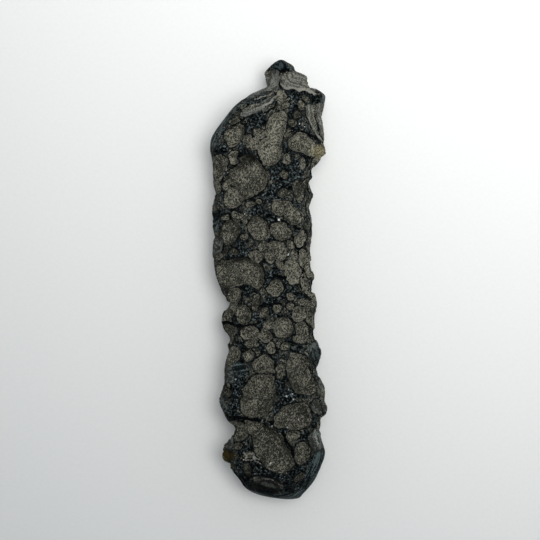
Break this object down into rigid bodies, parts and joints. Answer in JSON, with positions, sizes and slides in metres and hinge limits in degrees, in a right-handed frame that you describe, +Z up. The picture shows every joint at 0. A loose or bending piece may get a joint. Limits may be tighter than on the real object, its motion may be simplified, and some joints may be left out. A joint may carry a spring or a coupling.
{
  "type": "tektite",
  "caption": "Long rod-shaped splash-form tektite of black natural glass, covered in etched pits, with a thin broken tip; lies on its flatter side.",
  "frame": {"origin": "on the resting plane, under the middle of the stone's bounding box", "axes": "+Y along the stone towards its thin broken tip, +Z up from the side it rests on, +X to the right when the tip points away"},
  "size_m": [0.024, 0.09, 0.0181],
  "materials": {
    "tektite_glass": "matte"
  },
  "bodies": {
    "root": {"tektite": "tektite_glass"}
  },
  "joints": []
}
